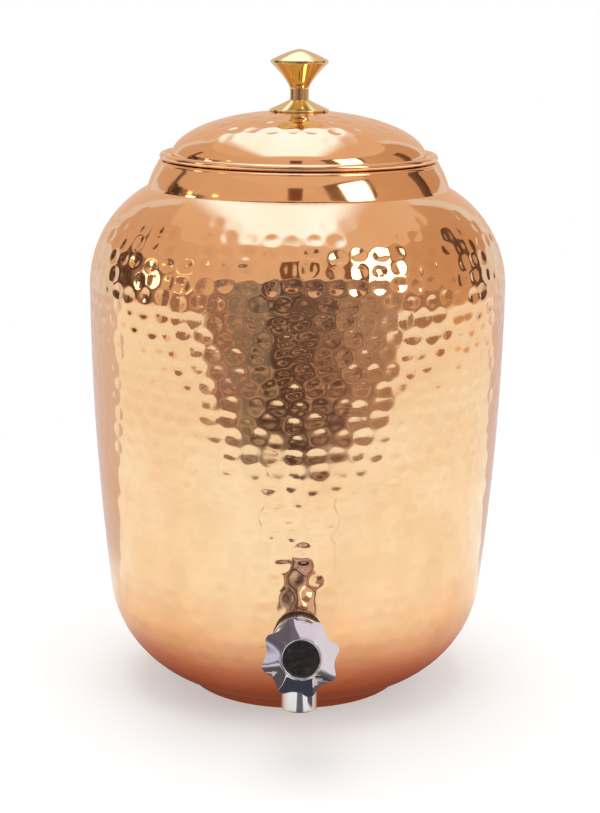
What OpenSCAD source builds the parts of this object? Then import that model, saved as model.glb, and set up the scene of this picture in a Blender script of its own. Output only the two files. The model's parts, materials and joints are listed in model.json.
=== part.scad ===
// Copper water dispenser: a hammered pot with a lift-off lid and a screw-down tap.
// Millimetres. +Z is up, the pot stands on z = 0 and the tap points along -Y.

/* [Pot] */
// Largest outside diameter of the pot
belly_d = 222; // [200:1:260]
// Height of the largest diameter above the table
belly_z = 220; // [205:1:250]
// Radius of the wall's bow, from the belly down to the bottom corner
wall_bow = 1470; // [1200:10:3000]
// Radius of the rounded bottom corner
bottom_round = 60; // [52:1:66]
// Height of the lowest point of the bottom corner's circle
corner_low_z = 2; // [0:0.5:4]
// Radius of the rounded shoulder
shoulder_round = 59; // [54:1:66]
// Height of the brazed seam between the hammered wall and the shoulder
seam_z = 248; // [236:1:254]
// Thickness of the copper sheet
sheet_t = 1; // [0.6:0.1:1.4]
// Width of the brazed laps
lap_w = 8; // [5:0.5:10]
// Diameter of the flat base where it stands on the table
foot_d = 118; // [110:1:120]
// Diameter of the wall's lower edge, where the base pan goes in
foot_top_d = 124; // [122:1:130]

/* [Neck] */
// Outside diameter of the neck band where it leaves the shoulder
neck_foot_d = 160; // [152:1:172]
// Outside diameter of the neck band at its lip
neck_lip_d = 149; // [140:1:152]
// Height of the neck band above the shoulder
neck_h = 14; // [8:0.5:24]
// Radius of the lip's outer edge
lip_round = 1.5; // [0.5:0.1:2.5]
// Width of the lip, which is turned in under the lid
lip_w = 6; // [4:0.5:10]

/* [Lid] */
// How far the lid's rim stands back from the edge of the lip
rim_back = 0.9; // [0:0.1:2]
// Diameter of the rolled bead round the rim
bead_d = 3.6; // [2.4:0.1:4.4]
// Width of the flat rim outside the dome
rim_w = 6; // [4:0.5:8]
// Height of the dome above the rim
dome_h = 24.5; // [18:0.5:40]
// Depth of the collar that keeps the lid in the mouth
collar_h = 14; // [8:0.5:20]
// Play of the collar in the mouth, on the radius
collar_play = 0.8; // [0.4:0.1:1.5]

/* [Lid knob] */
// Diameter of the rosette under the knob
rosette_d = 31.5; // [24:0.5:38]
// Height of the rosette
rosette_h = 5.5; // [4:0.5:10]
// Thickness of the rosette's edge
rosette_edge = 1; // [0.8:0.1:2]
// Bow of the rosette's slope, straight at 1
rosette_bow = 1.1; // [1:0.1:2]
// Diameter of the knob's stem
stem_d = 10; // [8:0.2:13]
// Length of the straight stem above the rosette
stem_h = 5.5; // [2:0.5:8]
// Diameter of the knob's sharp rim
knob_rim_d = 30.4; // [24:0.2:38]
// Height of the flare from the stem to the rim
knob_flare_h = 13.5; // [10:0.5:20]
// Bow of the flare and of the cone above it, straight at 1
knob_bow = 1.4; // [1:0.1:2]
// Thickness of the rim's edge
knob_edge = 1.3; // [0.5:0.1:1.5]
// Height of the low cone on top of the knob
knob_cone_h = 5.8; // [4:0.2:9]
// Diameter of the screw that holds the knob
lid_screw_d = 4; // [3:0.5:5]
// Length of the screw above the inside of the dome
lid_screw_l = 18; // [14:0.5:22]
// Diameter of the washer under the screw's head
lid_washer_d = 12; // [10:0.5:16]
// Thickness of that washer
lid_washer_t = 1; // [0.6:0.1:1.6]

/* [Tap body] */
// Height of the tap's hole
tap_z = 56; // [52:1:90]
// Tilt of the valve's axis above the horizontal
tap_tilt = 18; // [0:1:22]
// How far the valve's axis starts below the shank's axis
valve_drop = 5; // [2:0.5:5.5]
// Outside diameter of the threaded shank
shank_d = 16; // [14:0.5:18]
// Bore of the shank
shank_bore = 9; // [6:0.5:10]
// Diameter of the flange outside the wall
flange_d = 26; // [24:0.5:30]
// Thickness of the flange
flange_t = 3; // [2:0.5:5]
// Diameter of the neck between flange and valve chamber
tap_neck_d = 21; // [20:0.5:23]
// Distance from the flange to the bend between shank and valve chamber
bend_reach = 4.5; // [4:0.5:10]
// Outside diameter of the valve chamber
chamber_d = 23; // [21:0.5:28]
// Bore of the valve chamber
chamber_bore = 16.4; // [15:0.2:18]
// Length of the valve chamber in front of the seat
chamber_l = 18; // [17.5:0.5:22]
// Distance from the flange to the spout's axis
spout_reach = 18.5; // [17:0.5:22]
// How far the spout reaches below the tap's hole
spout_drop = 27; // [20:0.5:40]
// Outside diameter of the spout
spout_d = 18; // [15:0.5:20]
// Bore of the spout
spout_bore = 10; // [8:0.5:11]
// Diameter of the spout's mouth
mouth_bore = 12; // [11.5:0.5:13]
// Depth of the spout's mouth
mouth_l = 10; // [6:0.5:12]
// Bevel round the spout's end
spout_bevel = 0.8; // [0.4:0.1:1.4]

/* [Tap fastening] */
// Least thickness of the rubber gaskets on the curved wall
gasket_t = 2.5; // [1.5:0.5:4]
// Thickness of the backing washer
backing_t = 1.5; // [1:0.1:2.5]
// Width across the flats of the lock nut
nut_af = 24; // [22:0.5:28]
// Thickness of the lock nut
nut_t = 6; // [4:0.5:8]
// Length of shank past the lock nut
shank_tail = 3; // [1:0.5:6]

/* [Valve] */
// Distance from the bend to the valve seat
seat_reach = 6; // [5:0.5:10]
// Diameter of the hole in the valve seat
seat_bore = 8; // [6:0.5:9]
// Width of the raised seat
seat_w = 1.5; // [1:0.1:2]
// Height of the raised seat
seat_h = 0.6; // [0.4:0.1:1]
// Diameter of the valve washer
valve_washer_d = 13; // [12:0.2:14]
// Thickness of the valve washer
valve_washer_t = 3; // [2:0.5:4]
// Thickness of the jumper's plate
jumper_t = 2.5; // [2:0.5:4]
// Diameter of the jumper's stem
jumper_stem_d = 5; // [4:0.2:5.6]
// Length of the jumper's stem
jumper_stem_l = 9; // [5:0.5:11]
// Diameter of the screw that holds the valve washer
valve_screw_d = 3; // [2:0.5:3]
// Diameter of the spindle's thread
spindle_thread_d = 10; // [9.4:0.2:11]
// Length of the spindle's thread
spindle_thread_l = 12.5; // [11:0.5:13]
// Diameter of the spindle's plain shaft
spindle_d = 8; // [7:0.2:8.4]
// Thickness of the O-ring's section
o_ring_t = 1.9; // [1.5:0.1:2.1]
// Distance from the spindle's thread to the O-ring's middle
o_ring_reach = 2.5; // [1.8:0.1:3]
// Thickness of the gasket under the bonnet
bonnet_gasket_t = 1; // [0.6:0.1:2]
// Length of the bonnet's thread
bonnet_thread_l = 5; // [3:0.5:6]
// Width across the flats of the bonnet
bonnet_af = 20; // [19:0.5:24]
// Length of the bonnet's six-sided head
bonnet_head_l = 8.5; // [8:0.5:14]
// Length of the guide at the bonnet's front
bonnet_guide_l = 2.5; // [1.5:0.5:3]

/* [Tap knob] */
// Diameter of the knob across the tips of its lobes
tap_knob_d = 38; // [32:0.5:46]
// Number of lobes
lobes = 8; // [5:1:10]
// Turn of the first lobe from the +X side, seen from the front
lobe_turn = 14.6; // [0:0.1:45]
// Depth of the flutes at the knob's skirt
flute_depth = 3; // [1.5:0.1:3.6]
// Radius of the flutes
flute_round = 9; // [6:0.5:12]
// Gap between the bonnet and the back of the knob
knob_gap = 1; // [0.5:0.1:3]
// Length of the knob
tap_knob_l = 13; // [12:0.5:18]
// Length of the straight rim at the knob's back
knob_skirt_l = 2.5; // [1:0.5:5]
// Diameter of the knob's front face
knob_face_d = 21; // [20.6:0.2:25]
// Outside diameter of the bezel
bezel_d = 19.8; // [18.4:0.2:20]
// Width of the bezel's ring
bezel_w = 1.1; // [0.8:0.1:1.6]
// How far the bezel stands out of the knob
bezel_proud = 1.2; // [0.5:0.1:2]
// How deep the badge lies inside the bezel
badge_recess = 0.7; // [0.2:0.1:1]
// Thickness of the badge
badge_t = 1.5; // [1:0.1:1.8]
// Side of the spindle's square end
square_w = 5.4; // [4.6:0.1:5.6]
// Length of the square end
square_l = 7; // [5:0.5:7]
// Diameter of the screw that holds the knob on
knob_screw_d = 3; // [2:0.5:3]

/* [Clearances] */
// Gap that the braze fills, and between fixed curved faces
braze_gap = 0.05; // [0.02:0.01:0.1]
// Running clearance of round parts, on the radius
running_gap = 0.05; // [0.02:0.01:0.09]
// Height of the lid's bead above the lip
lid_gap = 0.3; // [0.2:0.1:0.6]
// Clearance of the shank in the pot's hole, on the radius
hole_gap = 0.3; // [0.1:0.1:0.6]
// Gap between the knob's screw and the badge
badge_gap = 0.5; // [0.2:0.1:1]
// Clearance of the valve screw's head in the seat, on the radius
valve_head_play = 0.75; // [0.5:0.05:1]

/* [Hidden] */
$fn = 96;

copper = "#d08a55";
brass = "#c79a3c";
chrome = "#c9ccd2";
rubber = "#2b2b2b";
fibre = "#8a3d2a";
steel = "#9a9da3";
black = "#141414";

// Steps along each arc of a turned outline
arc_steps = 20;
// Small overlap that makes a cut pass right through
cut = 1;

// Pot outline: three tangent arcs, the bottom corner, the bowed wall and the shoulder
belly_r = belly_d / 2;
foot_r = foot_d / 2;
foot_top_r = foot_top_d / 2;
wall_centre = [belly_r - wall_bow, belly_z];
shoulder_centre = [belly_r - shoulder_round, belly_z];
corner_z = corner_low_z + bottom_round;
corner_x = wall_centre.x + sqrt(pow(wall_bow - bottom_round, 2) - pow(belly_z - corner_z, 2));
corner_centre = [corner_x, corner_z];
wall_end = -atan2(belly_z - corner_z, corner_x - wall_centre.x);
wall_end_z = belly_z + wall_bow * sin(wall_end);
foot_end = -acos((foot_top_r - corner_x) / bottom_round);
seam_turn = asin((seam_z - belly_z) / shoulder_round);
lap_in = sheet_t + braze_gap;
lap_out = lap_in + sheet_t;

// Neck and lid
neck_foot_r = neck_foot_d / 2;
lip_r = neck_lip_d / 2;
neck_foot_z = shoulder_z(0, neck_foot_r);
lip_z = neck_foot_z + neck_h;
mouth_r = lip_r - lip_w;
rim_r = lip_r - rim_back;
bead_x = rim_r - bead_d / 2;
bead_z = lip_z + lid_gap + bead_d / 2;
rim_z = bead_z - sheet_t / 2;
dome_r = rim_r - rim_w;
dome_z = rim_z + dome_h;
collar_r = mouth_r - collar_play;
rosette_r = rosette_d / 2;
rosette_z = dome_z + rosette_h;
stem_r = stem_d / 2;
stem_z = rosette_z + stem_h;
knob_rim_r = knob_rim_d / 2;
knob_rim_z = stem_z + knob_flare_h;
// The washer's edge meets the inside of the dome
lid_washer_z = dome_height(lid_washer_d / 2, -sheet_t) - braze_gap - lid_washer_t;
lid_head_d = 1.9 * lid_screw_d;
lid_head_h = 0.6 * lid_screw_d;

// Tap, measured from the pot's axis along -Y
flange_r = flange_d / 2;
flange_y = pot_r(tap_z + flange_r) + gasket_t;
flange_front_y = flange_y + flange_t;
bend_y = flange_front_y + bend_reach;
spout_y = flange_front_y + spout_reach;
spout_z = tap_z - spout_drop;
valve_z = tap_z - valve_drop;
spout_r = spout_d / 2;
inner_wall_r = pot_r(tap_z - flange_r) - sheet_t;
backing_y = sqrt(pow(inner_wall_r, 2) - pow(flange_r, 2)) - gasket_t;
nut_y = backing_y - backing_t;
shank_end_y = nut_y - nut_t - shank_tail;

// Valve, measured from the bend along the tilted axis
seat_floor = seat_reach - seat_h;
jumper_s = seat_reach + valve_washer_t;
spindle_s = jumper_s + jumper_t;
thread_end_s = spindle_s + spindle_thread_l;
chamber_s = seat_reach + chamber_l;
bonnet_s = chamber_s + bonnet_gasket_t;
bonnet_front_s = bonnet_s + bonnet_head_l;
knob_s = bonnet_front_s + knob_gap;
knob_front_s = knob_s + tap_knob_l;
knob_head_d = 2 * knob_screw_d;
knob_head_h = 0.5 * knob_screw_d;
knob_screw_l = 3 * knob_screw_d;
// Pocket in the knob's front, deep enough for the screw's head under the badge
knob_pocket_l = knob_head_h + badge_gap + badge_t + badge_recess - bezel_proud;
square_end_s = knob_front_s - knob_pocket_l;
square_s = square_end_s - square_l;
o_ring_s = thread_end_s + o_ring_reach;
o_ring_r = spindle_thread_d / 2 - o_ring_t / 2;
groove_r = o_ring_r - o_ring_t / 2 - running_gap;
groove_w = o_ring_t + 2 * running_gap;
valve_head_d = seat_bore - 2 * valve_head_play;
valve_head_h = 0.5 * valve_screw_d;
valve_screw_l = valve_washer_t + jumper_t;
bezel_r = bezel_d / 2;
badge_r = bezel_r - bezel_w - running_gap;
bezel_front_s = knob_front_s + bezel_proud;
badge_s = bezel_front_s - badge_recess - badge_t;

// Points of an arc about a centre
function arc(centre, r, from, to) = [
    for (i = [0:arc_steps])
        let (a = from + (to - from) * i / arc_steps)
        centre + r * [cos(a), sin(a)]
];

// Points of a flare, which is straight at a bow of 1 and steeper at its start at more
function flare(r_from, z_from, r_to, z_to, bow) = [
    for (i = [0:arc_steps])
        let (t = i / arc_steps)
        [r_from + (r_to - r_from) * pow(t, bow), z_from + (z_to - z_from) * t]
];

// Points of a quarter ellipse from its rim to its top
function dome_line(grow) = [
    for (i = [0:2 * arc_steps])
        let (a = 90 * i / (2 * arc_steps))
        [(dome_r + grow) * cos(a), rim_z + (dome_h + grow) * sin(a)]
];

function dome_height(r, grow) = rim_z + (dome_h + grow) * sqrt(1 - pow(r / (dome_r + grow), 2));
function backwards(line) = [for (i = [len(line) - 1:-1:0]) line[i]];
function tail(line) = [for (i = [1:len(line) - 1]) line[i]];
function degrees(length, r) = length / r * 180 / PI;

// Outlines of the pot's sheet, set in from its outside
function corner_line(inset, from, to) = arc(corner_centre, bottom_round - inset, from, to);
function wall_line(inset) = arc(wall_centre, wall_bow - inset, wall_end, 0);
function shoulder_line(inset, from, to) = arc(shoulder_centre, shoulder_round - inset, from, to);
function shoulder_turn(inset, r) = acos((r - shoulder_centre.x) / (shoulder_round - inset));
function shoulder_z(inset, r) =
    belly_z + sqrt(pow(shoulder_round - inset, 2) - pow(r - shoulder_centre.x, 2));
function body_line(inset) = concat(
    corner_line(inset, foot_end, wall_end),
    tail(wall_line(inset)),
    tail(shoulder_line(inset, 0, seam_turn)));

// Outside radius of the pot at a height below the belly
function pot_r(z) = z > wall_end_z
    ? wall_centre.x + sqrt(pow(wall_bow, 2) - pow(belly_z - z, 2))
    : corner_x + sqrt(pow(bottom_round, 2) - pow(corner_z - z, 2));

// The pot's inside or outside as a solid, for parts that follow its wall
module pot_solid(inset) {
    line = body_line(inset);
    rotate_extrude()
        polygon(concat([[0, line[0].y]], line, [[0, line[len(line) - 1].y]]));
}

// A cylinder on the shank's axis, between two distances from the pot's axis
module on_shank(from_y, to_y, d) {
    translate([0, -from_y, tap_z]) rotate([90, 0, 0]) cylinder(d = d, h = to_y - from_y);
}

// Moves its children onto the valve's tilted axis, a distance from the bend
module on_valve(s) {
    translate([0, -bend_y, valve_z]) rotate([90 - tap_tilt, 0, 0]) translate([0, 0, s]) children();
}

module vessel_body() {
    color(copper) difference() {
        rotate_extrude() polygon(concat(body_line(0), backwards(body_line(sheet_t))));
        on_shank(0, belly_r + cut, shank_d + 2 * hole_gap);
    }
}

module vessel_shoulder() {
    hole_r = neck_foot_r + braze_gap;
    edge = seam_turn + degrees(braze_gap, shoulder_round);
    step = seam_turn + degrees(2 * sheet_t, shoulder_round);
    low = seam_turn - degrees(lap_w, shoulder_round);
    color(copper) rotate_extrude() polygon(concat(
        shoulder_line(0, edge, shoulder_turn(0, hole_r)),
        backwards(shoulder_line(sheet_t, step, shoulder_turn(sheet_t, hole_r))),
        backwards(shoulder_line(lap_out, low, step)),
        shoulder_line(lap_in, low, edge)));
}

module neck_band() {
    flange_edge_r = neck_foot_r + lap_w;
    inner_r = neck_foot_r - sheet_t;
    color(copper) rotate_extrude() polygon(concat(
        arc([lip_r - lip_round, lip_z - lip_round], lip_round, 90, 0),
        [[neck_foot_r, neck_foot_z]],
        shoulder_line(lap_in, shoulder_turn(lap_in, neck_foot_r), shoulder_turn(lap_in, flange_edge_r)),
        shoulder_line(lap_out, shoulder_turn(lap_out, flange_edge_r), shoulder_turn(lap_out, inner_r)),
        [[inner_r, neck_foot_z], [lip_r - lip_round, lip_z - sheet_t],
         [mouth_r, lip_z - sheet_t], [mouth_r, lip_z]]));
}

module base_pan() {
    bevel = sheet_t;
    edge_turn = foot_end + degrees(lap_w, bottom_round);
    outer_lap = corner_line(lap_in, foot_end, edge_turn);
    inner_lap = corner_line(lap_out, edge_turn, foot_end);
    // The pan's wall rises from the foot's edge, or from inside a foot that is wider than the lap
    wall_foot_r = min(foot_r, outer_lap[0].x);
    color(copper) rotate_extrude() {
        polygon([[0, 0], [foot_r - bevel, 0], [foot_r, bevel], [foot_r - bevel, sheet_t], [0, sheet_t]]);
        polygon(concat(
            [[wall_foot_r - sheet_t, 0], [wall_foot_r, sheet_t]],
            outer_lap,
            inner_lap,
            [outer_lap[0] - [sheet_t, 0], [wall_foot_r - sheet_t, sheet_t]]));
    }
}

module tap_outer_gasket() {
    color(rubber) difference() {
        on_shank(inner_wall_r, flange_y, flange_d);
        on_shank(0, flange_y + cut, shank_d + 2 * braze_gap);
        pot_solid(-braze_gap);
    }
}

module tap_inner_gasket() {
    color(rubber) intersection() {
        difference() {
            on_shank(backing_y, flange_y, flange_d);
            on_shank(0, flange_y + cut, shank_d + 2 * braze_gap);
        }
        pot_solid(lap_in);
    }
}

module tap_backing_washer() {
    color(steel) difference() {
        on_shank(nut_y, backing_y, flange_d);
        on_shank(0, flange_y, shank_d + 2 * braze_gap);
    }
}

module tap_lock_nut() {
    color(brass) difference() {
        translate([0, nut_t - nut_y, tap_z]) rotate([90, 0, 0])
            cylinder(d = nut_af / cos(30), h = nut_t, $fn = 6);
        on_shank(0, flange_y, shank_d + 2 * braze_gap);
    }
}

module tap_outside() {
    on_shank(shank_end_y, flange_front_y, shank_d);
    on_shank(flange_y, flange_front_y, flange_d);
    on_shank(flange_y, bend_y, tap_neck_d);
    translate([0, -bend_y, tap_z]) sphere(d = tap_neck_d);
    on_valve(0) cylinder(d = chamber_d, h = chamber_s);
    translate([0, -spout_y, 0]) rotate_extrude() polygon([
        [0, spout_z], [spout_r - spout_bevel, spout_z], [spout_r, spout_z + spout_bevel],
        [spout_r, valve_z], [0, valve_z]]);
}

module tap_waterway() {
    on_shank(shank_end_y - cut, bend_y, shank_bore);
    on_valve(0) sphere(d = seat_bore);
    on_valve(0) cylinder(d = seat_bore, h = chamber_s);
    on_valve(seat_floor) difference() {
        cylinder(d = chamber_bore, h = chamber_l + seat_h + cut);
        cylinder(d = seat_bore + 2 * seat_w, h = seat_h);
    }
    translate([0, -spout_y, spout_z]) cylinder(d = spout_bore, h = valve_z - spout_z);
    translate([0, -spout_y, spout_z - cut]) cylinder(d = mouth_bore, h = mouth_l + cut);
}

module tap_body() {
    color(chrome) difference() {
        tap_outside();
        tap_waterway();
    }
}

module bonnet_gasket() {
    color(fibre) on_valve(chamber_s) difference() {
        cylinder(d = bonnet_af, h = bonnet_gasket_t);
        translate([0, 0, -cut]) cylinder(d = chamber_bore, h = bonnet_gasket_t + 2 * cut);
    }
}

module tap_bonnet() {
    thread_s = bonnet_s - bonnet_thread_l;
    guide_s = bonnet_front_s - bonnet_guide_l;
    color(chrome) difference() {
        union() {
            on_valve(bonnet_s) cylinder(d = bonnet_af / cos(30), h = bonnet_head_l, $fn = 6);
            on_valve(thread_s)
                cylinder(d = chamber_bore - 2 * braze_gap, h = bonnet_thread_l + bonnet_head_l);
        }
        on_valve(thread_s - cut)
            cylinder(d = spindle_thread_d + 2 * running_gap, h = guide_s - thread_s + cut);
        on_valve(guide_s - cut)
            cylinder(d = spindle_d + 2 * running_gap, h = bonnet_guide_l + 2 * cut);
    }
}

module jumper_valve() {
    color(brass) difference() {
        on_valve(jumper_s) union() {
            cylinder(d = valve_washer_d, h = jumper_t);
            cylinder(d = jumper_stem_d, h = jumper_t + jumper_stem_l);
        }
        on_valve(jumper_s - cut) cylinder(d = valve_screw_d + 2 * braze_gap, h = valve_screw_l + cut);
    }
}

module valve_washer() {
    color(rubber) on_valve(seat_reach) difference() {
        cylinder(d = valve_washer_d, h = valve_washer_t);
        translate([0, 0, -cut])
            cylinder(d = valve_screw_d + 2 * braze_gap, h = valve_washer_t + 2 * cut);
    }
}

module valve_washer_screw() {
    color(brass) on_valve(seat_reach - valve_head_h) {
        cylinder(d = valve_head_d, h = valve_head_h);
        cylinder(d = valve_screw_d, h = valve_head_h + valve_screw_l);
    }
}

module spindle() {
    color(brass) difference() {
        on_valve(spindle_s) union() {
            cylinder(d = spindle_thread_d, h = spindle_thread_l);
            cylinder(d = spindle_d, h = square_end_s - spindle_s);
        }
        on_valve(square_s) difference() {
            cylinder(d = spindle_d + cut, h = square_l + cut);
            translate([-square_w / 2, -square_w / 2, -cut])
                cube([square_w, square_w, square_l + 3 * cut]);
        }
        on_valve(spindle_s - cut)
            cylinder(d = jumper_stem_d + 2 * running_gap, h = jumper_stem_l + 2 * cut);
        on_valve(o_ring_s - groove_w / 2) difference() {
            cylinder(d = spindle_thread_d, h = groove_w);
            cylinder(r = groove_r, h = groove_w);
        }
        on_valve(square_end_s - knob_screw_l)
            cylinder(d = knob_screw_d + 2 * braze_gap, h = knob_screw_l + cut);
    }
}

module spindle_o_ring() {
    color(rubber) on_valve(o_ring_s)
        rotate_extrude() translate([o_ring_r, 0]) circle(d = o_ring_t);
}

// A flute between two lobes, straight over the skirt and then leaning in until it is gone at the face
module knob_flute(turn) {
    valley_r = tap_knob_d / 2 - flute_depth;
    lean = atan2(valley_r - knob_face_d / 2, tap_knob_l - knob_skirt_l);
    rotate([0, 0, turn]) {
        translate([valley_r + flute_round, 0, -cut]) cylinder(r = flute_round, h = tap_knob_l + 2 * cut);
        translate([valley_r + flute_round / cos(lean), 0, knob_skirt_l]) rotate([0, -lean, 0])
            translate([0, 0, -tap_knob_l]) cylinder(r = flute_round, h = 4 * tap_knob_l);
    }
}

module tap_knob() {
    half = 180 / lobes;
    color(chrome) difference() {
        on_valve(knob_s) difference() {
            rotate_extrude() polygon([
                [0, 0], [tap_knob_d / 2, 0], [tap_knob_d / 2, knob_skirt_l],
                [knob_face_d / 2, tap_knob_l], [0, tap_knob_l]]);
            for (i = [0:lobes - 1]) knob_flute(lobe_turn + half + i * 2 * half);
        }
        on_valve(square_end_s) cylinder(r = bezel_r + braze_gap, h = knob_pocket_l + cut);
        on_valve(knob_s - cut)
            cylinder(d = spindle_d + 2 * braze_gap, h = square_s - knob_s + cut);
        on_valve(square_s - cut) translate([-square_w / 2 - braze_gap, -square_w / 2 - braze_gap, 0])
            cube([square_w + 2 * braze_gap, square_w + 2 * braze_gap, square_l + 2 * cut]);
    }
}

module knob_screw() {
    color(steel) {
        on_valve(square_end_s) cylinder(d = knob_head_d, h = knob_head_h);
        on_valve(square_end_s - knob_screw_l)
            cylinder(d = knob_screw_d, h = knob_screw_l + knob_head_h);
    }
}

module knob_bezel() {
    color(chrome) on_valve(square_end_s) difference() {
        cylinder(r = bezel_r, h = knob_pocket_l + bezel_proud);
        translate([0, 0, -cut]) cylinder(r = bezel_r - bezel_w, h = knob_pocket_l + bezel_proud + 2 * cut);
    }
}

module knob_badge() {
    color(black) on_valve(badge_s) cylinder(r = badge_r, h = badge_t);
}

module lid_dome() {
    color(copper) difference() {
        rotate_extrude() {
            polygon(concat(dome_line(0), backwards(dome_line(-sheet_t))));
            translate([collar_r - sheet_t, rim_z]) square([bead_x - collar_r + sheet_t, sheet_t]);
            translate([bead_x, bead_z]) circle(d = bead_d);
        }
        translate([0, 0, rim_z]) cylinder(d = lid_screw_d + 2 * braze_gap, h = 2 * dome_h);
    }
}

module lid_collar() {
    color(copper) translate([0, 0, rim_z - collar_h]) difference() {
        cylinder(r = collar_r, h = collar_h);
        translate([0, 0, -cut]) cylinder(r = collar_r - sheet_t, h = collar_h + 2 * cut);
    }
}

module knob_rosette() {
    hole_r = lid_screw_d / 2 + braze_gap;
    steps = 6;
    seat = [
        for (i = [0:steps])
            let (r = hole_r + (rosette_r - hole_r) * i / steps)
            [r, dome_height(r, braze_gap)]
    ];
    edge_z = dome_height(rosette_r, braze_gap) + rosette_edge;
    color(brass) rotate_extrude() polygon(concat(
        seat,
        backwards(flare(stem_r, rosette_z, rosette_r, edge_z, rosette_bow)),
        [[hole_r, rosette_z]]));
}

module lid_knob() {
    steps = 10;
    cone = [
        for (i = [0:steps])
            let (r = knob_rim_r * (1 - i / steps))
            [r, knob_rim_z + knob_edge + knob_cone_h * (1 - pow(r / knob_rim_r, knob_bow))]
    ];
    color(brass) difference() {
        rotate_extrude() polygon(concat(
            [[0, rosette_z], [stem_r, rosette_z]],
            flare(stem_r, stem_z, knob_rim_r, knob_rim_z, knob_bow),
            cone));
        translate([0, 0, rosette_z - cut])
            cylinder(d = lid_screw_d + 2 * braze_gap, h = lid_screw_l - rosette_h + cut);
    }
}

module lid_screw() {
    color(steel) translate([0, 0, lid_washer_z - lid_head_h]) {
        cylinder(d = lid_head_d, h = lid_head_h);
        cylinder(d = lid_screw_d, h = lid_head_h + lid_screw_l);
    }
}

module lid_screw_washer() {
    color(steel) translate([0, 0, lid_washer_z]) difference() {
        cylinder(d = lid_washer_d, h = lid_washer_t);
        translate([0, 0, -cut]) cylinder(d = lid_screw_d + 2 * braze_gap, h = lid_washer_t + 2 * cut);
    }
}

vessel_body();
vessel_shoulder();
neck_band();
base_pan();
tap_body();
tap_outer_gasket();
tap_inner_gasket();
tap_backing_washer();
tap_lock_nut();
tap_bonnet();
bonnet_gasket();
lid_dome();
lid_collar();
knob_rosette();
lid_knob();
lid_screw();
lid_screw_washer();
jumper_valve();
valve_washer();
valve_washer_screw();
spindle();
spindle_o_ring();
tap_knob();
knob_screw();
knob_bezel();
knob_badge();
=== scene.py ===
import json
import math

import bpy
import numpy as np
from mathutils import Matrix, Vector


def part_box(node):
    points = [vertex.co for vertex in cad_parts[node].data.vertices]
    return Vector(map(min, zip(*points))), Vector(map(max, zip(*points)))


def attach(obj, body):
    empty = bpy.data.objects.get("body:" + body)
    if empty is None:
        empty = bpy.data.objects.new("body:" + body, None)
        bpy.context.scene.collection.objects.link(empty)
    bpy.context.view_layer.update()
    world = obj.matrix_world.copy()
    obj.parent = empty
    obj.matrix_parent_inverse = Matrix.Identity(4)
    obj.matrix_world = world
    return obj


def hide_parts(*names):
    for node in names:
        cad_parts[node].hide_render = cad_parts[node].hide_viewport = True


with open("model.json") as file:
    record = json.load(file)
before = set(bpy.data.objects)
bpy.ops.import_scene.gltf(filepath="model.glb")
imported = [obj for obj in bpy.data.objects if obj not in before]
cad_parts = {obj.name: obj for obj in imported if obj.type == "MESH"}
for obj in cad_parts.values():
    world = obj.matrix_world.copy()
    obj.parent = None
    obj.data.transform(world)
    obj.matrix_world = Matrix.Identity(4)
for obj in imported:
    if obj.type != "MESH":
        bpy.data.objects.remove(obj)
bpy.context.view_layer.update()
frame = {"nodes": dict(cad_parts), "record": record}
print("frame loaded:", len(frame["nodes"]), "nodes")

mm = 0.001
up = Vector((0, 0, 1))


# Small helpers for working with operators

def deselectAll():
    if bpy.context.mode != "OBJECT":
        bpy.ops.object.mode_set(mode="OBJECT")
    bpy.ops.object.select_all(action="DESELECT")


def selectOnly(piece):
    deselectAll()
    piece.select_set(True)
    bpy.context.view_layer.objects.active = piece


def applyModifiers(piece):
    selectOnly(piece)
    for modifier in list(piece.modifiers):
        bpy.ops.object.modifier_apply(modifier=modifier.name)


def smoothShade(piece, angle=35):
    selectOnly(piece)
    bpy.ops.object.shade_smooth_by_angle(angle=math.radians(angle))


def bevelEdges(piece, width, segments=3, angle=30):
    bevel = piece.modifiers.new("soft edges", "BEVEL")
    bevel.width = width
    bevel.segments = segments
    bevel.limit_method = "ANGLE"
    bevel.angle_limit = math.radians(angle)
    applyModifiers(piece)


def weighNormals(piece):  # broad faces keep their own normals beside soft edges
    weigh = piece.modifiers.new("weighted normals", "WEIGHTED_NORMAL")
    weigh.keep_sharp = True
    applyModifiers(piece)


def combine(piece, tool, operation):
    boolean = piece.modifiers.new("combine", "BOOLEAN")
    boolean.operation = operation
    boolean.solver = "MANIFOLD"
    boolean.object = tool
    applyModifiers(piece)
    bpy.data.objects.remove(tool)


def piecePoints(piece):
    points = np.empty(len(piece.data.vertices) * 3)
    piece.data.vertices.foreach_get("co", points)
    return points.reshape(-1, 3)


# Reading sizes from the frame

def turnedSize(node, origin, axis):  # reach along an axis, and the largest radius about it
    points = piecePoints(frame["nodes"][node]) - np.array(origin)
    along = points @ np.array(axis)
    around = np.linalg.norm(points - np.outer(along, np.array(axis)), axis=1)
    return float(along.min()), float(along.max()), float(around.max())


def sectionOf(node):  # the closed outline of a turned node, from its seam on the +X side
    mesh = frame["nodes"][node].data
    onSeam = {}
    for vertex in mesh.vertices:
        x, y, z = vertex.co
        if abs(y) < 1e-6 and x > -1e-6:
            onSeam[vertex.index] = (round(max(x, 0), 6), round(z, 6))
    links = {}
    for edge in mesh.edges:
        a, b = (onSeam.get(i) for i in edge.vertices)
        if a and b and a != b:
            links.setdefault(a, set()).add(b)
            links.setdefault(b, set()).add(a)
    start = min(links, key=lambda p: (len(links[p]), p[1], p[0]))
    line = [start]
    last = None
    while True:
        onward = [p for p in links[line[-1]] if p != last and p != start]
        if not onward or len(line) > len(links):
            break
        last = line[-1]
        line.append(onward[0])
    if start in links[line[-1]] and len(line) > 2:
        line.append(start)
    elif line[0][0] > 0:  # flat ends run to the axis
        line = [(0, line[0][1])] + line + [(0, line[-1][1])]
    return line


# Turned pieces: an outline is drawn point by point in the XZ plane and turned about Z

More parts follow.
